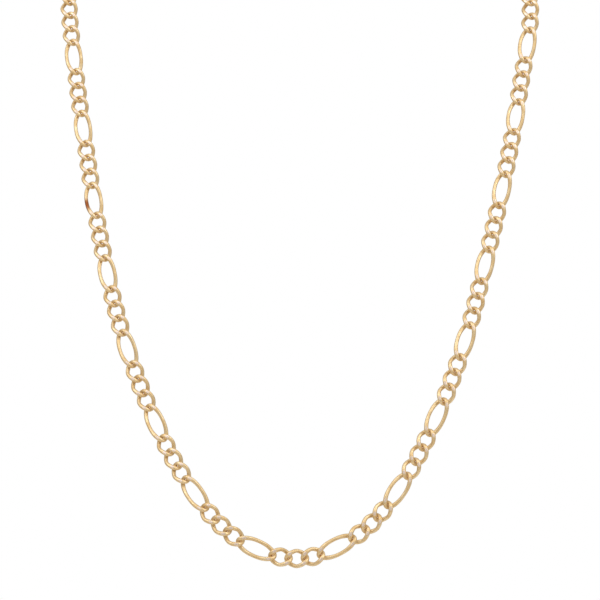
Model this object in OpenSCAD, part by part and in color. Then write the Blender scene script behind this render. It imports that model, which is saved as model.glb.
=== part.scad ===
// Figaro chain necklace: three short curb links and one long link, over and over, closed by a clasp.
// Millimetres, +Z up. The chain keeps the form in which it hangs round a neck, with the front drop
// towards -Y and the origin at the nape, in the middle of the clasp.

/* [Chain] */
// Length of the whole closed loop, clasp included
necklace_len = 457; // [400:1:610]
// Number of short links between two long ones
short_run = 3; // [1:1:5]
// Width of the flattened wire along a link's sides, seen from its face
side_wide = 0.8; // [0.72:0.01:0.92]
// Thickness of the wire along a link's sides
side_thick = 0.7; // [0.55:0.01:0.76]
// Width of the wire where it humps over the next link
hump_wide = 0.9; // [0.7:0.01:0.94]
// Thickness of the wire where it humps over the next link
hump_thick = 0.52; // [0.45:0.01:0.56]
// Width of the wire at a link's ends
end_wide = 0.74; // [0.62:0.01:0.77]
// Thickness of the wire at a link's ends
end_thick = 0.5; // [0.42:0.01:0.56]
// Slack left between the ends of two links
link_gap = 0.18; // [0.16:0.01:0.34]
// Roundness of the links' ends: 2 is an ellipse, more makes them blunter
end_round = 2.3; // [2.1:0.05:2.6]

/* [Short link] */
// Overall length of a short link
short_len = 5.09; // [4.9:0.01:5.6]
// Overall width of a short link
short_w = 3.98; // [3.86:0.01:4.4]
// Half twist of a short link from its middle to its end, in degrees
short_twist = 42; // [40:1:48]
// Roundness of a short link's sides: 2 is an ellipse, less draws them out to a point
short_round = 1.55; // [1.5:0.05:2]

/* [Long link] */
// Overall length of a long link
long_len = 9.04; // [7.6:0.01:10]
// Overall width of a long link
long_w = 4.02; // [3.9:0.01:4.4]
// Half twist of a long link from its middle to its end, in degrees
long_twist = 42; // [40:1:50]
// Roundness of a long link's sides: 2 is an ellipse, more makes them straighter
long_round = 2.1; // [2:0.05:2.6]

/* [Clasp] */
// Overall length of the clasp
clasp_len = 12.5; // [11:0.1:16]
// Overall width of the clasp's claw
claw_w = 5.4; // [5:0.1:7]
// Thickness of the clasp's wire at the claw's tip and round its eye
clasp_wire = 0.9; // [0.8:0.05:1]
// Thickness of the claw's body, next to the eye
body_wire = 1.7; // [1.5:0.05:2]
// Outer diameter of the clasp's eye
eye_d = 3.8; // [3.6:0.1:4.4]
// Outer diameter of a jump ring
ring_d = 4.2; // [4:0.1:5]
// Thickness of a jump ring's wire
ring_wire = 0.7; // [0.6:0.05:0.8]
// Slack between a jump ring and what it joins
ring_gap = 0.26; // [0.24:0.01:0.35]

/* [Hidden] */
gold = "#D9B57A";

// Points that the chain's middle line passes through, from the nape down the left strand, through
// the front drop and up the right strand to the nape again. Each row is x, y and z in millimetres,
// then the way the links face: degrees turned from straight ahead, and degrees raised.
route = [
    [0, 0, 0, 0, 125],
    [-18, -3, -1, -20, 108],
    [-36, -11, -6, -16, 78],
    [-49, -20, -14, -14, 42],
    [-55.5, -28, -28, -8, 15],
    [-55.5, -33, -37.5, 5, -3],
    [-53.5, -38, -53, 7, -7],
    [-50, -44, -74, 7, -5],
    [-46, -51, -94, 7, -2],
    [-41, -57, -113, 6, 1],
    [-34, -62, -131, 5, 4],
    [-26, -67, -145.5, 4, 6],
    [-19, -70, -154, 3, 8],
    [-12, -71, -159, 2, 9],
    [0, -71, -161, 0, 9],
    [5.5, -71, -159, -1, 9],
    [13, -70, -154, -3, 8],
    [18, -69, -148, -4, 6],
    [26, -66, -134, -5, 4],
    [33, -62, -117, -6, 1],
    [38, -57, -100, -6, -1],
    [43, -52, -80, -7, -4],
    [47, -46, -61, -7, -7],
    [50, -38, -36, -6, -4],
    [47, -32, -27, 9, 17],
    [40, -22, -16, 12, 42],
    [29, -12, -8, 22, 72],
    [15.5, -3.5, -2, 22, 114],
    [0, 0, 0, 0, 125]
];
// Steps of the curve between two rows of the route
route_steps = 16;
// Sides of the rings and of their wire
short_sides = 12;
long_sides = 16;
claw_sides = 16;
wire_sides = 6;
clasp_wire_sides = 8;
// How much wider the claw is towards its tip than in its middle, as a share of its width
claw_swell = 0.12;
// How late the twist comes along each kind of link: 1 is even, more keeps it for the ends
short_late = 1;
long_late = 1.5;

// Distance from one junction to the next along each kind of link
short_span = short_len - 2 * end_wide - link_gap;
long_span = long_len - 2 * end_wide - link_gap;
repeat = short_run + 1;
// How far the middle of a link's end wire lies past its junction
end_reach = (end_wide + link_gap) / 2;
// How far the middles of a jump ring and of the clasp's end lie past the last junction
ring_r = (ring_d - ring_wire) / 2;
ring_reach = end_reach - hooked(end_wide, ring_wire) + ring_r;
clasp_reach = ring_reach + ring_r - hooked(ring_wire, clasp_wire);
closing_len = 2 * clasp_reach + clasp_len - clasp_wire;
repeats = round((necklace_len - closing_len) / (short_run * short_span + long_span));
links = repeats * repeat;
// The link in the middle of the front drop
front_link = floor(links / 2);
// Distance along the loop of each junction, the first one next to the clasp
junctions = [for (i = 0, s = closing_len / 2; i <= links; s = s + span(i), i = i + 1) s];
loop_len = junctions[links] + closing_len / 2;

function hooked(a, b) = (a + b) / 2 + ring_gap;
function is_long(i) = (i - front_link + links * repeat) % repeat == floor(repeat / 2);
function span(i) = is_long(i) ? long_span : short_span;
function unit(v) = v / norm(v);
function place(row) = [row.x, row.y, row.z];

// Row of the route by number, carried on past the nape at both ends
function row(i) =
    i < 0 ? route[len(route) - 2] :
    i >= len(route) ? route[1] : route[i];
function gap_after(i) = norm(place(row(i + 1)) - place(row(i)));
// Slope of the curve at a row, from the rows on both sides, each weighed by the other's distance
function slope(i) =
    let (a = gap_after(i - 1), b = gap_after(i))
    ((row(i) - row(i - 1)) * b / a + (row(i + 1) - row(i)) * a / b) / (a + b);
// Cubic curve from one row to the next that keeps both slopes
function curve(i, u) =
    (2 * pow(u, 3) - 3 * pow(u, 2) + 1) * row(i)
    + (pow(u, 3) - 2 * pow(u, 2) + u) * gap_after(i) * slope(i)
    + (3 * pow(u, 2) - 2 * pow(u, 3)) * row(i + 1)
    + (pow(u, 3) - pow(u, 2)) * gap_after(i) * slope(i + 1);
traced = [
    for (i = [0:len(route) - 2]) for (j = [0:route_steps - 1]) curve(i, j / route_steps),
    row(len(route) - 1)
];
traced_s = [
    for (i = 0, s = 0; i < len(traced);
        s = s + (i + 1 < len(traced) ? norm(place(traced[i + 1]) - place(traced[i])) : 0), i = i + 1) s
];
// The route is drawn to the size at which the links close it
route_scale = loop_len / traced_s[len(traced) - 1];
tables = [for (k = [0:4]) [for (i = [0:len(traced) - 1]) [traced_s[i], traced[i][k]]]];
function at(s) =
    let (r = [for (k = [0:4]) lookup(s / route_scale, tables[k])])
    [r[0] * route_scale, r[1] * route_scale, r[2] * route_scale, r[3], r[4]];

// Frame of a piece that lies from row a to row b: middle, along, across (to the inside of the
// drop) and out of the face, and the straight length between its ends
function frame(a, b) =
    let (
        x = unit(place(b) - place(a)),
        turn = (a[3] + b[3]) / 2,
        rise = (a[4] + b[4]) / 2,
        face = [sin(turn) * cos(rise), -cos(turn) * cos(rise), sin(rise)],
        z = unit(face - (face * x) * x)
    )
    [(place(a) + place(b)) / 2, x, cross(z, x), z, norm(place(b) - place(a))];
function placed(f, p) = f[0] + p.x * f[1] + p.y * f[2] + p.z * f[3];
frames = [for (i = [0:links - 1]) frame(at(junctions[i]), at(junctions[i + 1]))];
clasp_frame = frame(at(junctions[links]), at(junctions[0]));

// A cosine or sine raised to a power, so that a ring made of them is rounder or more pointed
function shaped(v, round) = sign(v) * pow(abs(v), 2 / round);
// Middle line of a link: an oval ring turned about its length, most at its ends
function link_line(t, a, b, round, twist, late) =
    let (
        x = shaped(cos(t), round),
        y = b * shaped(sin(t), end_round),
        w = twist * sign(x) * pow(abs(x), late)
    )
    [a * x, y * cos(w), -y * sin(w)];
// Size of a link's wire at angle t, from its sizes at the ends, the humps and the sides
function blended(t, at_end, at_hump, at_side) =
    at_end + (at_side - at_end) * pow(sin(t), 2)
    + (at_hump - (at_end + at_side) / 2) * pow(sin(2 * t), 2);
// Half width and half thickness of a link's wire
function link_wire(t) =
    [blended(t, end_wide, hump_wide, side_wide) / 2, blended(t, end_thick, hump_thick, side_thick) / 2];
// Middle line and wire of the clasp's claw: an egg that is widest towards its tip and thickest
// next to the eye
function claw_line(t, a, b) = [a * cos(t), b * sin(t) * (1 + claw_swell * cos(t)), 0];
function claw_wire(t) = [1, 1] * (clasp_wire + (body_wire - clasp_wire) * (1 - cos(t)) / 2) / 2;

// Points of one section of wire, square to its middle line. Half its width lies along the ring's
// face and half its thickness out of it.
function wire_points(p, before, after, half, sides) =
    let (
        d = unit(after - before),
        n = unit(cross(d, [0, 0, 1])),
        m = cross(d, n)
    )
    [
        for (j = [0:sides - 1])
            p + half[0] * cos(360 * j / sides) * n + half[1] * sin(360 * j / sides) * m
    ];
function link_points(f, long) =
    let (
        sides = long ? long_sides : short_sides,
        a = f[4] / 2 + end_reach,
        b = ((long ? long_w : short_w) - side_wide) / 2,
        shape = long ? long_round : short_round,
        w = long ? long_twist : short_twist,
        late = long ? long_late : short_late
    )
    [
        for (i = [0:sides - 1])
            let (t = 360 * i / sides)
            for (p = wire_points(link_line(t, a, b, shape, w, late), link_line(t - 1, a, b, shape, w, late),
                    link_line(t + 1, a, b, shape, w, late), link_wire(t), wire_sides))
                placed(f, p)
    ];
// Triangles of a closed tube whose points start at number base
function tube_faces(base, sides, wires) = [
    for (i = [0:sides - 1]) for (j = [0:wires - 1])
        let (
            a = base + i * wires,
            b = base + ((i + 1) % sides) * wires,
            k = (j + 1) % wires
        )
        each [[a + j, b + j, b + k], [a + j, b + k, a + k]]
];

// A run of links, each one a closed ring that passes through the next
module chain(first, last) {
    counts = [for (i = [first:last]) (is_long(i) ? long_sides : short_sides)];
    bases = [for (i = 0, s = 0; i < len(counts); s = s + counts[i] * wire_sides, i = i + 1) s];
    polyhedron(
        points = [for (i = [first:last]) each link_points(frames[i], is_long(i))],
        faces = [for (i = [0:len(counts) - 1]) each tube_faces(bases[i], counts[i], wire_sides)],
        convexity = 8
    );
}

// A round ring of wire about the Z axis
module torus(r, wire) {
    rotate_extrude($fn = 48)
        translate([r, 0])
            circle(d = wire, $fn = 24);
}

// Puts its children in the frame of a piece
module in_frame(f) {
    multmatrix([
        [f[1].x, f[2].x, f[3].x, f[0].x],
        [f[1].y, f[2].y, f[3].y, f[0].y],
        [f[1].z, f[2].z, f[3].z, f[0].z]
    ]) children();
}

// A jump ring half way between a link's end and the clasp's end. It leans half as much as the
// link's end is twisted.
module jump_ring(link_f, side, lean) {
    link_end = placed(link_f, [-side * (link_f[4] / 2 + end_reach), 0, 0]);
    clasp_end = placed(clasp_frame, [side * (clasp_len - clasp_wire) / 2, 0, 0]);
    middle = (link_end + clasp_end) / 2;
    in_frame([middle, clasp_frame[1], clasp_frame[2], clasp_frame[3]])
        rotate([90 + side * lean, 0, 0])
            torus(ring_r, ring_wire);
}

module chain_left() {
    color(gold) chain(0, front_link - 1);
}

module chain_right() {
    color(gold) chain(front_link, links - 1);
}

module clasp() {
    eye_r = (eye_d - clasp_wire) / 2;
    tip = (clasp_len - clasp_wire) / 2;
    eye_x = eye_r - tip;
    // The claw's body reaches half of the eye's wire past the eye's inner side
    claw_back = eye_x + eye_r + body_wire / 4;
    a = (tip - claw_back) / 2;
    b = (claw_w - (clasp_wire + body_wire) / 2) / 2;
    color(gold) in_frame(clasp_frame) {
        translate([eye_x, 0, 0]) torus(eye_r, clasp_wire);
        translate([(tip + claw_back) / 2, 0, 0])
            polyhedron(
                points = [
                    for (i = [0:claw_sides - 1])
                        let (t = 360 * i / claw_sides)
                        each wire_points(claw_line(t, a, b), claw_line(t - 1, a, b), claw_line(t + 1, a, b),
                            claw_wire(t), clasp_wire_sides)
                ],
                faces = tube_faces(0, claw_sides, clasp_wire_sides),
                convexity = 4
            );
    }
}

module ring_left() {
    color(gold) jump_ring(frames[0], 1, (is_long(0) ? long_twist : short_twist) / 2);
}

module ring_right() {
    color(gold) jump_ring(frames[links - 1], -1, (is_long(links - 1) ? long_twist : short_twist) / 2);
}

chain_left();
chain_right();
clasp();
ring_left();
ring_right();
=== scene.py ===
"""A figaro chain necklace in yellow gold, in the form in which it hangs when worn.

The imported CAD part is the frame. Every link, the two jump rings and the clasp are made again here
from the same rule and the same sizes as the solids, with a finer mesh and with the flats that the
cutter leaves on the links' humps. Lengths inside the classes are millimetres, and one factor turns
them to metres where Blender is given them.
"""

import logging
import math
from dataclasses import dataclass, field
from enum import Enum
from typing import Any

import bpy
import numpy as np
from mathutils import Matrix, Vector

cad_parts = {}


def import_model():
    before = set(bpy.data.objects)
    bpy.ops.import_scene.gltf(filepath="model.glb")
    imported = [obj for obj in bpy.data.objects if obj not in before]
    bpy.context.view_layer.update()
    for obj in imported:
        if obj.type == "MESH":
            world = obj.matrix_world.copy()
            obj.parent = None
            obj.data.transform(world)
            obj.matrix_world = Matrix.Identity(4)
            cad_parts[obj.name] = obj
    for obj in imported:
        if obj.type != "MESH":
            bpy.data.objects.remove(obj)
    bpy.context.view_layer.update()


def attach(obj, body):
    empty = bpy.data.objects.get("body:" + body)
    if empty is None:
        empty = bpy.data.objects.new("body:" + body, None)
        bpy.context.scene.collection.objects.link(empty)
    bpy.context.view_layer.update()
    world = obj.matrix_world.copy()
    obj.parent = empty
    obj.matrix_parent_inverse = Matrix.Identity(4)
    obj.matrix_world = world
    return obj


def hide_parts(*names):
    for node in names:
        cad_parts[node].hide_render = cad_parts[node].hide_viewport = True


LOG = logging.getLogger("necklace")
METRES = 0.001
BODY = "root"
# Turn each way round a ring, in radians, between the points that give its line's direction
TURN_STEP = math.radians(1.0)
# Length of one band of Blender's wave texture at a scale of 1
WAVE_PERIOD = math.pi / 10

Array = np.ndarray


def linear(hex_colour: str) -> tuple[float, float, float, float]:
    """Turns an sRGB hex colour into the linear values that shaders use.

    Each channel c is c / 12.92 below 0.04045 and ((c + 0.055) / 1.055) ** 2.4 above it.

    Args:
        hex_colour: six hex digits after a hash sign.

    Returns:
        Red, green, blue and an alpha of 1.
    """
    digits = hex_colour.lstrip("#")
    channels = [int(digits[i : i + 2], 16) / 255 for i in (0, 2, 4)]
    lit = [c / 12.92 if c <= 0.04045 else ((c + 0.055) / 1.055) ** 2.4 for c in channels]
    return (lit[0], lit[1], lit[2], 1.0)


def unit(v: Array) -> Array:
    """Scales each vector in the last axis to length 1."""
    return v / np.linalg.norm(v, axis=-1, keepdims=True)


def smooth_step(low: float, high: float, x: Array) -> Array:
    """Rises from 0 at low to 1 at high as 3u^2 - 2u^3, with u the share of the way."""
    u = np.clip((x - low) / (high - low), 0.0, 1.0)
    return u * u * (3 - 2 * u)


class LinkKind(Enum):
    """The two kinds of link in the pattern."""

    SHORT = "short"
    LONG = "long"


@dataclass(frozen=True)
class LinkForm:
    """Sizes of one kind of link.

    Attributes:
        length: overall length, mm.
        width: overall width, mm.
        twist: half twist from the middle to the end, degrees.
        roundness: of its sides: 2 is an ellipse, less is pointed, more is straighter.
        late: 1 twists evenly, more keeps the twist for the ends.
    """

    length: float
    width: float
    twist: float
    roundness: float
    late: float


@dataclass(frozen=True)
class ChainSizes:
    """Sizes that the solids are made from, in mm and degrees.

    Attributes:
        necklace_len: length of the whole closed loop, clasp included.
        short_run: number of short links between two long ones.
        side_wide: width of the wire along a link's sides.
        end_wide: width of the wire at a link's ends.
        link_gap: slack left between the ends of two links.
        end_round: roundness of the links' ends: 2 is an ellipse, more makes them blunter.
        short: sizes of a short link.
        long: sizes of a long link.
        clasp_len: overall length of the clasp.
        claw_w: overall width of its claw.
        clasp_wire: thickness of its wire at the claw's tip and round its eye.
        body_wire: thickness of the claw's body, next to the eye.
        eye_d: outer diameter of its eye.
        claw_swell: how much wider the claw is towards its tip, as a share of its width.
        ring_d: outer diameter of a jump ring.
        ring_wire: thickness of a jump ring's wire.
        ring_gap: slack between a jump ring and what it joins.
    """

    necklace_len: float = 457.0
    short_run: int = 3
    side_wide: float = 0.8
    end_wide: float = 0.74
    link_gap: float = 0.18
    end_round: float = 2.3
    short: LinkForm = LinkForm(5.09, 3.98, 42.0, 1.55, 1.0)
    long: LinkForm = LinkForm(9.04, 4.02, 42.0, 2.1, 1.5)
    clasp_len: float = 12.5
    claw_w: float = 5.4
    clasp_wire: float = 0.9
    body_wire: float = 1.7
    eye_d: float = 3.8
    claw_swell: float = 0.12
    ring_d: float = 4.2
    ring_wire: float = 0.7
    ring_gap: float = 0.26

    def form(self, kind: LinkKind) -> LinkForm:
        """Returns the sizes of one kind of link."""
        return self.long if kind is LinkKind.LONG else self.short

    def span(self, kind: LinkKind) -> float:
        """Distance from one junction to the next along a link."""
        return self.form(kind).length - 2 * self.end_wide - self.link_gap

    @property
    def end_reach(self) -> float:
        """How far the middle of a link's end wire lies past its junction."""
        return (self.end_wide + self.link_gap) / 2

    @property
    def ring_r(self) -> float:
        """Radius of a jump ring's middle line."""
        return (self.ring_d - self.ring_wire) / 2

    @property
    def closing_len(self) -> float:
        """Length of the loop that the two rings and the clasp take."""
        to_ring = self.end_reach - self.hooked(self.end_wide, self.ring_wire) + self.ring_r
        to_clasp = to_ring + self.ring_r - self.hooked(self.ring_wire, self.clasp_wire)
        return 2 * to_clasp + self.clasp_len - self.clasp_wire

    def hooked(self, a: float, b: float) -> float:
        """Distance between the middle lines of two wires that hook round each other."""
        return (a + b) / 2 + self.ring_gap


@dataclass(frozen=True)
class Seat:
    """Where a piece lies: its middle, its own axes as rows, and the length between its ends."""

    middle: Array
    axes: Array
    length: float

    def place(self, p: Array) -> Array:
        """Turns points from the piece's own axes into the part's axes."""
        return p @ self.axes + self.middle


@dataclass
class Route:
    """The chain's middle line, through given points, and the way the links face.

    Attributes:
        sizes: the chain's sizes.
        points: x, y and z in mm, then degrees turned from straight ahead and degrees raised, from
            the nape down the left strand and up the right one.
        steps: steps of the curve between two points.
        junctions: distance along the loop of each junction, the first one next to the clasp, mm.
        seats: where each link lies.
        clasp_seat: where the clasp lies.
        count: number of links.
        front: number of the link in the middle of the front drop.
    """

    sizes: ChainSizes
    steps: int = 16
    points: tuple[tuple[float, ...], ...] = (
        (0, 0, 0, 0, 125),
        (-18, -3, -1, -20, 108),
        (-36, -11, -6, -16, 78),
        (-49, -20, -14, -14, 42),
        (-55.5, -28, -28, -8, 15),
        (-55.5, -33, -37.5, 5, -3),
        (-53.5, -38, -53, 7, -7),
        (-50, -44, -74, 7, -5),
        (-46, -51, -94, 7, -2),
        (-41, -57, -113, 6, 1),
        (-34, -62, -131, 5, 4),
        (-26, -67, -145.5, 4, 6),
        (-19, -70, -154, 3, 8),
        (-12, -71, -159, 2, 9),
        (0, -71, -161, 0, 9),
        (5.5, -71, -159, -1, 9),
        (13, -70, -154, -3, 8),
        (18, -69, -148, -4, 6),
        (26, -66, -134, -5, 4),
        (33, -62, -117, -6, 1),
        (38, -57, -100, -6, -1),
        (43, -52, -80, -7, -4),
        (47, -46, -61, -7, -7),
        (50, -38, -36, -6, -4),
        (47, -32, -27, 9, 17),
        (40, -22, -16, 12, 42),
        (29, -12, -8, 22, 72),
        (15.5, -3.5, -2, 22, 114),
        (0, 0, 0, 0, 125),
    )
    junctions: Array = field(init=False)
    seats: list[Seat] = field(init=False)
    clasp_seat: Seat = field(init=False)
    count: int = field(init=False)
    front: int = field(init=False)

    def __post_init__(self) -> None:
        """Lays the links out along the route, which is drawn to the size that closes on them."""
        s = self.sizes
        repeat = s.short_run + 1
        pattern = s.short_run * s.span(LinkKind.SHORT) + s.span(LinkKind.LONG)
        self.count = repeat * round((s.necklace_len - s.closing_len) / pattern)
        self.front = self.count // 2
        spans = [s.span(self.kind(i)) for i in range(self.count)]
        self.junctions = s.closing_len / 2 + np.concatenate([[0.0], np.cumsum(spans)])
        loop = self.junctions[-1] + s.closing_len / 2
        traced = self.trace()
        run = np.linalg.norm(np.diff(traced[:, :3], axis=0), axis=1)
        along = np.concatenate([[0.0], np.cumsum(run)])
        scale = loop / along[-1]
        traced[:, :3] *= scale
        at = np.stack([np.interp(self.junctions, along * scale, c) for c in traced.T], -1)
        self.seats = [self.seat(at[i], at[i + 1]) for i in range(self.count)]
        self.clasp_seat = self.seat(at[-1], at[0])

    def kind(self, i: int) -> LinkKind:
        """Tells the kind of a link from its number: the long one is half a pattern off the front."""
        repeat = self.sizes.short_run + 1
        return LinkKind.LONG if (i - self.front) % repeat == repeat // 2 else LinkKind.SHORT

    def line(self, t: Array, half: Array, form: LinkForm) -> Array:
        """Middle line of links of one kind, in their own axes.

        At angle t, x = half * sign(cos t) * |cos t| ** (2 / roundness) and the sideways reach is
        b * sign(sin t) * |sin t| ** (2 / end_round), b being half the width less half the wire.
        That reach is turned about the length by twist * sign(x) * |x / half| ** late.

        Args:
            t: angles round the links, radians.
            half: half length of each middle line, mm, in a form that spreads over t.
            form: the links' sizes.

        Returns:
            Points, with one more axis for x, y and z.
        """
        c, s = np.cos(t), np.sin(t)
        x = np.sign(c) * np.abs(c) ** (2 / form.roundness)
        reach = (form.width - self.sizes.side_wide) / 2
        y = reach * np.sign(s) * np.abs(s) ** (2 / self.sizes.end_round)
        turn = np.radians(form.twist) * np.sign(x) * np.abs(x) ** form.late
        return np.stack([x * half, y * np.cos(turn) + 0 * half, -y * np.sin(turn) + 0 * half], -1)

    def world_line(self, i: int, steps: int = 48) -> Array:
        """Middle line of one link in a number of steps, in the part's axes."""
        t = np.radians(np.arange(steps) * 360.0 / steps)
        half = np.array(self.seats[i].length / 2 + self.sizes.end_reach)
        return self.seats[i].place(self.line(t, half, self.sizes.form(self.kind(i))))

    def trace(self) -> Array:
        """Works out the curve through the points.

        Between two points it is the cubic that keeps a slope at each. The slope is the mean of
        the slopes on both sides, each weighed by the other side's distance.

        Returns:
            Points of the curve, with their two angles.
        """
        p = np.array(self.points, float)
        q = np.vstack([p[-2], p, p[1]])
        d = np.linalg.norm(np.diff(q[:, :3], axis=0), axis=1)[:, None]
        a, b = d[:-1], d[1:]
        slope = ((q[1:-1] - q[:-2]) * b / a + (q[2:] - q[1:-1]) * a / b) / (a + b)
        u = (np.arange(self.steps) / self.steps)[None, :, None]
        start, end, gap = p[:-1, None], p[1:, None], d[1:-1, None]
        curve = (
            (2 * u**3 - 3 * u**2 + 1) * start
            + (u**3 - 2 * u**2 + u) * gap * slope[:-1, None]
            + (3 * u**2 - 2 * u**3) * end
            + (u**3 - u**2) * gap * slope[1:, None]
        )
        return np.vstack([curve.reshape(-1, 5), p[-1]])

    @staticmethod
    def seat(a: Array, b: Array) -> Seat:
        """Works out the seat of a piece that lies from a to b.

        Its x axis runs from a to b, its z axis is the facing direction made square to x, and its
        y axis is z cross x.

        Args:
            a: place in mm and the two angles in degrees at the piece's start.
            b: the same at its end.

        Returns:
            The piece's seat.
        """
        x = unit(b[:3] - a[:3])
        turn, rise = np.radians((a[3:] + b[3:]) / 2)
        face = np.array(
            [
                math.sin(turn) * math.cos(rise),
                -math.cos(turn) * math.cos(rise),
                math.sin(rise),
            ]
        )
        z = unit(face - face.dot(x) * x)
        length = float(np.linalg.norm(b[:3] - a[:3]))
        return Seat((a[:3] + b[:3]) / 2, np.stack([x, np.cross(z, x), z]), length)


@dataclass
class Skin:
    """A mesh in the making: corners, four-cornered faces and the patterns that ride on them.

    Attributes:
        points: corner positions, mm.
        faces: four corner numbers a face.
        uv: lengthwise and round-the-wire distances in mm, for each corner of each face.
        marks: named values, one for each point.
    """

    points: Array
    faces: Array
    uv: Array
    marks: dict[str, Array]

    @staticmethod
    def joined(skins: list["Skin"]) -> "Skin":
        """Puts several skins into one, with the corner numbers carried on."""
        starts = np.cumsum([0] + [len(s.points) for s in skins[:-1]])
        return Skin(
            np.vstack([s.points for s in skins]),
            np.vstack([s.faces + n for s, n in zip(skins, starts)]),
            np.vstack([s.uv for s in skins]),
            {k: np.concatenate([s.marks[k] for s in skins]) for k in skins[0].marks},
        )

    def write(self, name: str, material: bpy.types.Material) -> bpy.types.Object:
        """Makes the Blender object, with its place in its mesh.

        Args:
            name: the piece's name.
            material: the metal that it is made of.

        Returns:
            The new object.
        """
        mesh = bpy.data.meshes.new(name)
        faces = len(self.faces)
        mesh.vertices.add(len(self.points))
        mesh.vertices.foreach_set("co", (self.points * METRES).astype(np.float32).ravel())
        mesh.loops.add(faces * 4)
        mesh.loops.foreach_set("vertex_index", self.faces.astype(np.int32).ravel())
        mesh.polygons.add(faces)
        mesh.polygons.foreach_set("loop_start", np.arange(0, faces * 4, 4, dtype=np.int32))
        mesh.update(calc_edges=True)
        layer = mesh.uv_layers.new(name="WireUV")
        layer.data.foreach_set("uv", self.uv.astype(np.float32).ravel())
        for key, values in self.marks.items():
            mark = mesh.attributes.new(key, "FLOAT", "POINT")
            mark.data.foreach_set("value", values.astype(np.float32))
        mesh.materials.append(material)
        mesh.polygons.foreach_set("use_smooth", np.ones(faces, bool))
        mesh.validate()
        piece = bpy.data.objects.new(name, mesh)
        bpy.context.scene.collection.objects.link(piece)
        return piece


@dataclass(frozen=True)
class WireMesh:
    """How finely a closed ring of wire is meshed, and the form of its section.

    Attributes:
        stations: sections along the ring.
        sides: corners of a section.
        facet: how far the section goes from an ellipse, 0, to a six-sided one inside it, 1.
    """

    stations: int = 64
    sides: int = 18
    facet: float = 0.4

    def ring(self, line: Array, ahead: Array, behind: Array, wide: Array, thick: Array) -> Array:
        """Wraps a wall of wire round a closed middle line.

        A section stands square to the line from behind to ahead. Its first direction is level
        with the ring's face, outwards, and the second is square to both. At angle v a point lies
        wide * cos v along the first and thick * sin v along the second, both drawn in towards the
        sides of a hexagon whose corners point out and in.

        Args:
            line: points of the middle line, in any number of leading axes.
            ahead: the line's points a small step on.
            behind: the line's points a small step back.
            wide: half width of the wire outwards at each point.
            thick: half thickness of the wire across that at each point.

        Returns:
            Points of the sections, with one more axis round the wire.
        """
        along = unit(ahead - behind)
        out = unit(np.cross(along, np.array([0.0, 0.0, 1.0])))
        side = np.cross(along, out)
        v = np.radians(np.arange(self.sides) * 360.0 / self.sides)
        hexagon = math.cos(math.pi / 6) / np.cos((v % (math.pi / 3)) - math.pi / 6)
        pull = 1 - self.facet + self.facet * hexagon
        across = wide[..., None, None] * (np.cos(v) * pull)[:, None] * out[..., None, :]
        through = thick[..., None, None] * (np.sin(v) * pull)[:, None] * side[..., None, :]
        return line[..., None, :] + across + through

    def faces(self, rings: int) -> Array:
        """Corner numbers of the faces of a number of rings, each closed both ways."""
        i, j = np.meshgrid(np.arange(self.stations), np.arange(self.sides), indexing="ij")
        k, m = (i + 1) % self.stations, (j + 1) % self.sides
        here, there = i * self.sides, k * self.sides
        one = np.stack([here + j, here + m, there + m, there + j], -1).reshape(1, -1, 4)
        starts = np.arange(rings).reshape(-1, 1, 1) * self.stations * self.sides
        return (one + starts).reshape(-1, 4)

    def uv(self, lengths: Array, radius: float) -> Array:
        """Distances along and round the wire at each face's corners, for rings of given lengths."""
        i, j = np.meshgrid(np.arange(self.stations), np.arange(self.sides), indexing="ij")
        u = np.stack([i, i, i + 1, i + 1], -1) / self.stations
        v = np.stack([j, j + 1, j + 1, j], -1) / self.sides * (2 * math.pi * radius)
        u = u[None] * lengths.reshape(-1, 1, 1, 1)
        v = np.broadcast_to(v[None], u.shape)
        return np.stack([u, v], -1).reshape(-1, 4, 2)


@dataclass(frozen=True)
class WireForm:
    """Form of the links' flattened wire, and the plane that their humps are cut to, in mm.

    Attributes:
        side: width and thickness of the wire along a link's sides, seen from the face.
        hump: the same where it humps over the next link.
        end: the same at a link's ends, where the solids' wire is narrower, so that they stay apart.
        cut_height: height over a link's middle at which the cutter planes its humps.
    """

    side: tuple[float, float] = (0.8, 0.7)
    hump: tuple[float, float] = (0.92, 0.6)
    end: tuple[float, float] = (0.88, 0.6)
    cut_height: float = 0.765

    def half(self, t: Array, way: int) -> Array:
        """Half the wire's width, way 0, or thickness, way 1, at angle t round a link.

        It is end + (side - end) * sin(t) ** 2 + (hump - (end + side) / 2) * sin(2 t) ** 2, halved.
        """
        end, hump, side = self.end[way], self.hump[way], self.side[way]
        rise = (hump - (end + side) / 2) * np.sin(2 * t) ** 2
        return (end + (side - end) * np.sin(t) ** 2 + rise) / 2


@dataclass(frozen=True)
class Stain:
    """Brown tarnish on the outer wire of one link.

    Attributes:
        link: number of the link.
        along: place of its middle from the link's middle, mm.
        half: distance along at which it has faded to a third, mm.
        full_at: distance in from the link's outer edge up to which it is full, mm.
        gone_at: the same from which it is gone, mm.
    """

    link: int = 28
    along: float = 0.9
    half: float = 1.5
    full_at: float = 0.6
    gone_at: float = 1.1

    def strength(self, x: Array, inwards: Array) -> Array:
        """Strength of the stain: exp(-((x - along) / half) ** 4), times its fall inwards.

        Args:
            x: distance along the link from its middle, mm.
            inwards: distance in from the link's outer edge, mm.

        Returns:
            A value from 0 to 1 for each point.
        """
        fade = np.exp(-(((x - self.along) / self.half) ** 4))
        return fade * smooth_step(self.gone_at, self.full_at, inwards)


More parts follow.
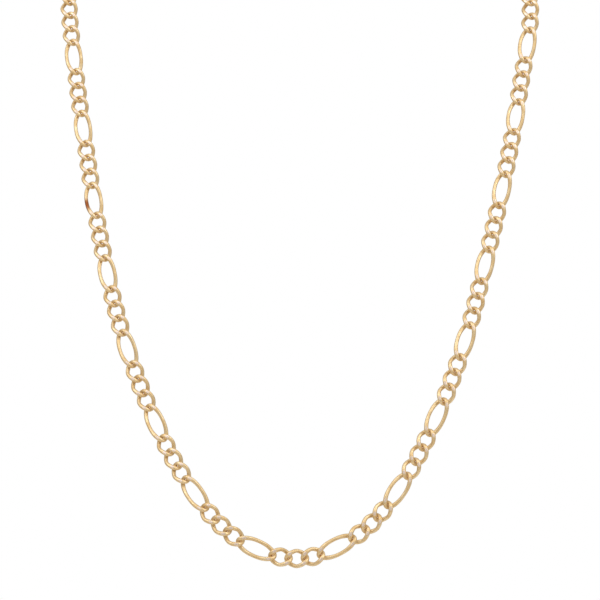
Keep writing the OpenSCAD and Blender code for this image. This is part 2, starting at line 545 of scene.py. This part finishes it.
@dataclass
class ChainStrand:
    """One half of the chain, between the clasp and the front.

    Attributes:
        name: the piece's name.
        node: the CAD node that it stands for.
        route: where the links lie.
        first: number of its first link.
        last: number after its last link.
        mesh: how finely its links are meshed.
        wire: form of the links' wire.
        stain: the tarnish on one link.
        shade_near: distance between wires up to which the shade painted where links meet is full,
            mm.
        shade_far: distance between wires from which no shade is painted, mm.
    """

    name: str
    node: str
    route: Route
    first: int
    last: int
    mesh: WireMesh = WireMesh()
    wire: WireForm = WireForm()
    stain: Stain = Stain()
    shade_near: float = 0.04
    shade_far: float = 0.42

    def shade_by_nearness(self, number: int, points: Array) -> Array:
        """Tells how near a link's surface comes to the links next to it, as the mask of the shade
        painted where links meet.

        With d the distance from a point to the nearer neighbour's middle line, less half its
        wire, the value falls from 1 at d = shade_near to 0 at d = shade_far.

        Args:
            number: the link's number.
            points: points of its surface in the part's axes, by section and place in the section.

        Returns:
            A value for each point.
        """
        nearest = np.full(points.shape[:-1], np.inf)
        for other in (number - 1, number + 1):
            if 0 <= other < self.route.count:
                line = self.route.world_line(other)
                away = np.linalg.norm(points[:, :, None] - line, axis=-1).min(-1)
                nearest = np.minimum(nearest, away)
        return smooth_step(self.shade_far, self.shade_near, nearest - self.wire.side[1] / 2)

    def skin_of(self, kind: LinkKind) -> Skin:
        """Meshes all the links of one kind in this half.

        The points of a hump that stand above the cutter's plane are pressed straight down onto it,
        and their height over it is kept as the mark of the cut.

        Args:
            kind: the kind of link.

        Returns:
            One skin for all of them, with the marks of the cut, the painted shade where links meet
            and the stain.
        """
        sizes, wire = self.route.sizes, self.wire
        numbers = [i for i in range(self.first, self.last) if self.route.kind(i) is kind]
        seats = [self.route.seats[i] for i in numbers]
        half = np.array([s.length / 2 + sizes.end_reach for s in seats])[:, None]
        t = np.radians(np.arange(self.mesh.stations) * 360.0 / self.mesh.stations)[None]
        form = sizes.form(kind)
        lines = [self.route.line(t + turn, half, form) for turn in (0.0, TURN_STEP, -TURN_STEP)]
        local = self.mesh.ring(*lines, wire.half(t, 0) + 0 * half, wire.half(t, 1) + 0 * half)
        cut = np.abs(local[..., 2]) - wire.cut_height
        local[..., 2] = np.clip(local[..., 2], -wire.cut_height, wire.cut_height)
        middle = np.array([s.middle for s in seats])[:, None, None]
        axes = np.array([s.axes for s in seats])
        world = np.einsum("lnmi,lij->lnmj", local, axes) + middle
        # Shade painted where links meet: the mask rises where a neighbour's wire comes near
        near_shade = np.array([self.shade_by_nearness(number, points) for number, points in zip(numbers, world)])
        stain = np.zeros_like(near_shade)
        if self.stain.link in numbers:
            own = local[numbers.index(self.stain.link)]
            inwards = own[..., 1] + form.width / 2
            stain[numbers.index(self.stain.link)] = self.stain.strength(own[..., 0], inwards)
        length = np.linalg.norm(np.diff(lines[0], axis=1), axis=-1).sum(1)
        # The sum leaves out the step that closes the line
        length *= self.mesh.stations / (self.mesh.stations - 1)
        return Skin(
            world.reshape(-1, 3),
            self.mesh.faces(len(numbers)),
            self.mesh.uv(length, wire.side[0] / 2),
            {"cut": cut.ravel(), "near_shade": near_shade.ravel(), "stain": stain.ravel()},
        )

    def build(self, material: bpy.types.Material) -> bpy.types.Object:
        """Makes the piece and puts it in its CAD node's place."""
        skin = Skin.joined([self.skin_of(LinkKind.SHORT), self.skin_of(LinkKind.LONG)])
        return settle(skin.write(self.name, material), self.node)


def settle(piece: bpy.types.Object, node: str) -> bpy.types.Object:
    """Makes a piece ride on the part's body and stand for its CAD node."""
    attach(piece, BODY)
    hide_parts(node)
    LOG.info("%s: %d faces, stands for %s", piece.name, len(piece.data.polygons), node)
    return piece


def plain_marks(points: Array) -> dict[str, Array]:
    """Marks of a piece with no painted shade or stain, that lies 1 mm under the cutter's plane."""
    none = np.zeros(len(points))
    return {"cut": none - 1, "near_shade": none, "stain": none}


@dataclass
class RoundRing:
    """A closed ring of wire with a middle line and a wire radius that follow the angle.

    Attributes:
        seat: where the ring lies.
        half: half length of the middle line, mm.
        across: half width of the middle line, mm.
        centre: place of its middle on the seat's x axis, mm.
        thin: radius of the wire at the +x end, mm.
        thick: radius of the wire at the -x end, mm.
        swell: how much wider it is towards +x.
        lean: turn of the ring's plane about x, degrees.
        mesh: how finely it is meshed.
    """

    seat: Seat
    half: float
    across: float
    centre: float
    thin: float
    thick: float
    swell: float = 0.0
    lean: float = 0.0
    mesh: WireMesh = WireMesh(stations=72, sides=24, facet=0.0)

    def line(self, t: Array) -> Array:
        """Middle line: half * cos t along x and across * sin t * (1 + swell * cos t) along y."""
        x = self.half * np.cos(t)
        y = self.across * np.sin(t) * (1 + self.swell * np.cos(t))
        return np.stack([x, y, 0 * t], -1)

    def skin(self) -> Skin:
        """Meshes the ring in the part's axes."""
        t = np.radians(np.arange(self.mesh.stations) * 360.0 / self.mesh.stations)
        radius = self.thin + (self.thick - self.thin) * (1 - np.cos(t)) / 2
        lines = [self.line(t + turn) for turn in (0.0, TURN_STEP, -TURN_STEP)]
        local = self.mesh.ring(*lines, radius, radius).reshape(-1, 3)
        a = math.radians(self.lean)
        tilt = np.array([[1, 0, 0], [0, math.cos(a), math.sin(a)], [0, -math.sin(a), math.cos(a)]])
        local = local @ tilt + np.array([self.centre, 0, 0])
        points = self.seat.place(local)
        length = math.pi * (self.half + self.across)
        uv = self.mesh.uv(np.array([length]), float(radius.mean()))
        return Skin(points, self.mesh.faces(1), uv, plain_marks(points))


@dataclass
class JumpRing:
    """A jump ring that joins an end of the chain to the clasp.

    Attributes:
        name: the piece's name.
        node: the CAD node that it stands for.
        route: where the chain and the clasp lie.
        link: number of the link that it joins.
        side: 1 at the start of the left strand, -1 at the end of the right one.
    """

    name: str
    node: str
    route: Route
    link: int
    side: int

    def build(self, material: bpy.types.Material) -> bpy.types.Object:
        """Makes the ring half way between the link's end and the clasp's end.

        It stands square to the clasp's face and leans half as much as the link's end is twisted.
        """
        s = self.route.sizes
        link_seat, clasp = self.route.seats[self.link], self.route.clasp_seat
        end = link_seat.place(np.array([-self.side * (link_seat.length / 2 + s.end_reach), 0, 0]))
        hook = clasp.place(np.array([self.side * (s.clasp_len - s.clasp_wire) / 2, 0, 0]))
        lean = 90 + self.side * s.form(self.route.kind(self.link)).twist / 2
        seat = Seat((end + hook) / 2, clasp.axes, 0.0)
        wire = s.ring_wire / 2
        ring = RoundRing(seat, s.ring_r, s.ring_r, 0.0, wire, wire, lean=lean)
        return settle(ring.skin().write(self.name, material), self.node)


@dataclass
class Clasp:
    """The clasp at the nape: an eye and an egg-shaped claw, in one plain piece."""

    name: str
    node: str
    route: Route

    def build(self, material: bpy.types.Material) -> bpy.types.Object:
        """Makes the eye and the claw from the solids' sizes."""
        s = self.route.sizes
        seat = self.route.clasp_seat
        eye_r = (s.eye_d - s.clasp_wire) / 2
        tip = (s.clasp_len - s.clasp_wire) / 2
        eye_x = eye_r - tip
        # The claw's body reaches back through the eye's wire, almost to the eye's inner side
        back = eye_x + eye_r + s.body_wire / 4
        half = (tip - back) / 2
        across = (s.claw_w - (s.clasp_wire + s.body_wire) / 2) / 2
        thin, thick = s.clasp_wire / 2, s.body_wire / 2
        eye = RoundRing(seat, eye_r, eye_r, eye_x, thin, thin)
        claw = RoundRing(seat, half, across, (tip + back) / 2, thin, thick, swell=s.claw_swell)
        skin = Skin.joined([eye.skin(), claw.skin()])
        return settle(skin.write(self.name, material), self.node)


class Shader:
    """Adds nodes to one node tree."""

    def __init__(self, tree: bpy.types.NodeTree) -> None:
        """Starts from an empty tree."""
        self.tree = tree
        tree.nodes.clear()

    def add(self, kind: str, settings: dict[str, Any] | None = None, **links: Any) -> bpy.types.Node:
        """Adds a node with its settings and what feeds it.

        Args:
            kind: the node's type name.
            settings: attribute names and their values.
            links: input names, spaces as underscores, or in_ and a number, each with an output
                socket to link or a value to set.

        Returns:
            The new node.
        """
        node = self.tree.nodes.new(kind)
        for key, value in (settings or {}).items():
            setattr(node, key, value)
        for key, value in links.items():
            name = key.replace("_", " ")
            socket = node.inputs[int(key[3:])] if key.startswith("in_") else node.inputs[name]
            if isinstance(value, bpy.types.NodeSocket):
                self.tree.links.new(value, socket)
            else:
                socket.default_value = value
        return node

    def mark(self, name: str) -> bpy.types.NodeSocket:
        """Reads one of the marks that ride on a piece's points."""
        return self.add("ShaderNodeAttribute", {"attribute_name": name}).outputs["Fac"]

    def between(
        self,
        value: bpy.types.NodeSocket,
        source: tuple[float, float],
        target: tuple[float, float] = (0.0, 1.0),
    ) -> bpy.types.NodeSocket:
        """Carries a value from one range to another, and stops at both ends.

        Args:
            value: the value.
            source: the range that it comes from.
            target: the range that it goes to.

        Returns:
            The value in its new range.
        """
        limits = {"in_1": source[0], "in_2": source[1], "in_3": target[0], "in_4": target[1]}
        return self.add("ShaderNodeMapRange", in_0=value, **limits).outputs[0]

    def mixed(self, share: bpy.types.NodeSocket, first: Any, second: Any) -> bpy.types.NodeSocket:
        """Mixes two colours, each a socket or a fixed colour, by the share of the second."""
        mix = self.add("ShaderNodeMix", {"data_type": "RGBA"}, in_0=share, in_6=first, in_7=second)
        return mix.outputs[2]


@dataclass(frozen=True)
class GoldFinish:
    """A finish on 14 carat yellow gold, polished and with bright-cut flats.

    Attributes:
        name: the material's name.
        colour: the polished metal's colour.
        warm: its colour where it has picked up a warm cast.
        flat_with_highlight: the paler pink colour painted on the bright-cut flats as their
            highlight.
        crevice_shade: the darker orange painted as shade where links meet.
        tarnish: the colour of the stain.
        roughness: spread of the polish's gloss.
        flat_roughness: spread of the gloss of the flats.
        line_pitch: distance between tool lines, mm.
        line_depth: depth of the tool lines, mm.
        grain: size of the soft wear pattern, mm.
        wear_detail: finer layers in the wear pattern.
        warm_from: values of the wear pattern between which the warm cast comes in.
        haze_from: values of the wear pattern between which the haze comes in.
        haze: roughness at both, as shares of the polish's own.
        crevice_shade_share: how much of that painted shade colour shows where links come nearest.
        flat_edge: heights over the cutter's plane between which a flat begins, mm.
        line_waver: how much the tool lines waver.
        line_detail: finer layers in that.
        bump_strength: strength of the tool lines' relief.
    """

    name: str
    colour: str
    warm: str
    flat_with_highlight: str
    crevice_shade: str
    tarnish: str
    roughness: float
    flat_roughness: float
    line_pitch: float
    line_depth: float
    grain: float
    wear_detail: float = 3.0
    warm_from: tuple[float, float] = (0.35, 0.7)
    haze_from: tuple[float, float] = (0.3, 0.75)
    haze: tuple[float, float] = (0.8, 1.35)
    crevice_shade_share: float = 0.88
    # flat_edge: heights over the cutter's plane between which the flats begin, mm.
    flat_edge: tuple[float, float] = (-0.01, 0.03)
    line_waver: float = 1.5
    line_detail: float = 1.0
    bump_strength: float = 0.5

    def build(self) -> bpy.types.Material:
        """Makes the material."""
        material = bpy.data.materials.new(self.name)
        material.use_nodes = True
        sh = Shader(material.node_tree)
        place = sh.add("ShaderNodeTexCoord")
        # Soft hand wear that clouds the polish, in patches of a known size
        wear = sh.add(
            "ShaderNodeTexNoise",
            Vector=place.outputs["Object"],
            Scale=1 / (self.grain * METRES),
            Detail=self.wear_detail,
        ).outputs[0]
        cast = sh.between(wear, self.warm_from)
        base = sh.mixed(cast, linear(self.colour), linear(self.warm))
        # Painted shade: darker orange where one link's surface comes near the next
        painted_shade = sh.between(sh.mark("near_shade"), (0.0, 1.0), (0.0, self.crevice_shade_share))
        base = sh.mixed(painted_shade, base, linear(self.crevice_shade))
        # Tarnish on one link's outer wire
        base = sh.mixed(sh.mark("stain"), base, linear(self.tarnish))
        # The flats begin where the wire would stand above the cutter's plane
        flat_with_highlight = sh.between(sh.mark("cut"), self.flat_edge)
        # The flats get a paler pink colour, a painted highlight of their mirror faces
        base = sh.mixed(flat_with_highlight, base, linear(self.flat_with_highlight))
        # Lines of the drawing die, along the wire. Real ones are 0.02 mm apart, too fine to show,
        # so they are drawn as far apart as the pitch says.
        lines = sh.add(
            "ShaderNodeTexWave",
            {"wave_type": "BANDS", "bands_direction": "Y"},
            Vector=place.outputs["UV"],
            Scale=WAVE_PERIOD / self.line_pitch,
            Distortion=self.line_waver,
            Detail=self.line_detail,
        )
        bump = sh.add(
            "ShaderNodeBump",
            Strength=self.bump_strength,
            Distance=self.line_depth * METRES,
            Height=lines.outputs[1],
        )
        # The haze spreads the polish's gloss, and the flats have a gloss of their own
        low, high = (self.roughness * share for share in self.haze)
        gloss = sh.between(wear, self.haze_from, (low, high))
        rough = sh.add("ShaderNodeMix", in_0=flat_with_highlight, in_2=gloss, in_3=self.flat_roughness)
        surface = sh.add(
            "ShaderNodeBsdfPrincipled",
            Base_Color=base,
            Metallic=1.0,
            Roughness=rough.outputs[0],
            Normal=bump.outputs[0],
        )
        sh.add("ShaderNodeOutputMaterial", Surface=surface.outputs[0])
        return material


# Polished 14 carat yellow gold: silver and copper make it paler than pure gold, and drawn wire
# tumbled to a polish gives the eye long soft highlights with a slight haze from wear. A diamond
# cutter planes the humps to flats, which light up all at once; their white look with a pink cast
# is painted on them as a highlight.
YELLOW_GOLD = GoldFinish(
    name="polished 14k yellow gold, bright-cut",
    colour="#EFD6AA",
    warm="#E4C591",
    flat_with_highlight="#F5E0D0",
    crevice_shade="#D9AB66",
    tarnish="#9A5A33",
    roughness=0.48,
    flat_roughness=0.42,
    line_pitch=0.16,
    line_depth=0.004,
    grain=1.4,
)


@dataclass(frozen=True)
class SoftBox:
    """A soft box lamp.

    Attributes:
        name: the lamp's name.
        at: its place, mm.
        size: its width and height, mm.
        power: its power, watts.
    """

    name: str
    at: tuple[float, float, float]
    size: tuple[float, float]
    power: float

    def hang(self, aim: Vector) -> None:
        """Hangs the lamp, facing a point in metres."""
        light = bpy.data.lights.new(self.name, "AREA")
        light.shape = "RECTANGLE"
        light.size, light.size_y = self.size[0] * METRES, self.size[1] * METRES
        light.energy = self.power
        lamp = bpy.data.objects.new(self.name, light)
        lamp.location = Vector(self.at) * METRES
        lamp.rotation_euler = (aim - lamp.location).to_track_quat("-Z", "Y").to_euler()
        bpy.context.scene.collection.objects.link(lamp)


@dataclass
class Studio:
    """The floor, the white room, the lamps and the camera.

    Attributes:
        floor_z: height of the floor under the necklace, mm.
        floor_r: radius of the floor, mm.
        floor_sides: corners of its rim.
        paper: colour of the floor's paper.
        paper_roughness: spread of the paper's gloss.
        room_colours: colours of the room below, a little under the middle, and above.
        room_middle: how high the second one stands, as a share of the way up.
        room_light: brightness of the room as a light on the object.
        white: brightness of the room where the camera looks straight at it, past the object.
        aim: the point that the lamps face, mm.
        lamps: the soft boxes.
        camera_at: place of the camera, mm.
        view_distance: distance of the front links from the camera, mm.
        view_width: width that the view takes in at that distance, mm.
        sensor: width of the camera's sensor, mm.
        clip: nearest and farthest distances that the camera sees, metres.
    """

    floor_z: float = -450.0
    floor_r: float = 1200.0
    floor_sides: int = 96
    paper: str = "#F4F2EE"
    paper_roughness: float = 0.9
    room_colours: tuple[str, str, str] = ("#A8A29A", "#D6D2CB", "#FFFFFF")
    room_middle: float = 0.45
    room_light: float = 0.72
    white: float = 1.0
    aim: tuple[float, float, float] = (0.0, -50.0, -100.0)
    lamps: tuple[SoftBox, ...] = (
        SoftBox("key", (-450, -550, 600), (700, 700), 2.7),
        SoftBox("fill", (550, -500, 500), (500, 700), 2.5),
    )
    camera_at: tuple[float, float, float] = (-2.0, -421.0, -107.0)
    view_distance: float = 350.0
    view_width: float = 125.0
    sensor: float = 36.0
    clip: tuple[float, float] = (0.01, 100.0)

    def floor(self) -> bpy.types.Object:
        """Makes a round plain floor: a ring of corners at one radius and height."""
        turn = np.radians(np.arange(self.floor_sides) * 360.0 / self.floor_sides)
        x, y = np.cos(turn) * self.floor_r, np.sin(turn) * self.floor_r
        rim = np.stack([x, y, np.full_like(turn, self.floor_z)], -1) * METRES
        mesh = bpy.data.meshes.new("floor")
        mesh.from_pydata(rim.tolist(), [], [list(range(self.floor_sides))])
        material = bpy.data.materials.new("matt white studio paper")
        material.use_nodes = True
        sh = Shader(material.node_tree)
        surface = sh.add(
            "ShaderNodeBsdfPrincipled",
            Base_Color=linear(self.paper),
            Roughness=self.paper_roughness,
        )
        sh.add("ShaderNodeOutputMaterial", Surface=surface.outputs[0])
        mesh.materials.append(material)
        floor = bpy.data.objects.new("floor", mesh)
        bpy.context.scene.collection.objects.link(floor)
        return floor

    def room(self) -> None:
        """Makes the white room: bright above, greyer below, and plain white behind the object."""
        world = bpy.data.worlds.new("white room")
        world.use_nodes = True
        sh = Shader(world.node_tree)
        where = sh.add("ShaderNodeTexCoord").outputs["Generated"]
        parts = sh.add("ShaderNodeSeparateXYZ", in_0=where)
        level = sh.between(parts.outputs[2], (-1.0, 1.0))
        ramp = sh.add("ShaderNodeValToRGB", Fac=level)
        low, middle, high = (linear(colour) for colour in self.room_colours)
        stops = ramp.color_ramp.elements
        stops[0].position, stops[0].color = 0.0, low
        stops[1].position, stops[1].color = 1.0, high
        stops.new(self.room_middle).color = middle
        lit = sh.add("ShaderNodeBackground", Color=ramp.outputs[0], Strength=self.room_light)
        white = sh.add("ShaderNodeBackground", Color=(1, 1, 1, 1), Strength=self.white)
        both = sh.add(
            "ShaderNodeMixShader",
            in_0=sh.add("ShaderNodeLightPath").outputs["Is Camera Ray"],
            in_1=lit.outputs[0],
            in_2=white.outputs[0],
        )
        sh.add("ShaderNodeOutputWorld", Surface=both.outputs[0])
        bpy.context.scene.world = world

    def camera(self) -> None:
        """Puts the camera level with the image's middle, looking along +Y."""
        data = bpy.data.cameras.new("camera")
        data.sensor_width = self.sensor
        data.lens = self.sensor * self.view_distance / self.view_width
        data.clip_start, data.clip_end = self.clip
        camera = bpy.data.objects.new("camera", data)
        camera.location = Vector(self.camera_at) * METRES
        camera.rotation_euler = (math.pi / 2, 0, 0)
        bpy.context.scene.collection.objects.link(camera)
        bpy.context.scene.camera = camera

    def build(self) -> None:
        """Builds the whole studio, shown as it is, with no film curve over it."""
        bpy.context.scene.view_settings.view_transform = "Standard"
        self.camera()
        self.floor()
        self.room()
        for lamp in self.lamps:
            lamp.hang(Vector(self.aim) * METRES)
        LOG.info("studio: floor, room, %d soft boxes and camera", len(self.lamps))


def main() -> None:
    """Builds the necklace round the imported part."""
    logging.basicConfig(level=logging.INFO, format="%(name)s: %(message)s")
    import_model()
    Studio().build()
    gold = YELLOW_GOLD.build()
    route = Route(ChainSizes())
    ChainStrand("strand_left", "chain_left", route, 0, route.front).build(gold)
    ChainStrand("strand_right", "chain_right", route, route.front, route.count).build(gold)
    Clasp("claw_clasp", "clasp", route).build(gold)
    JumpRing("jump_ring_left", "ring_left", route, 0, 1).build(gold)
    JumpRing("jump_ring_right", "ring_right", route, route.count - 1, -1).build(gold)


if __name__ == "__main__":
    main()
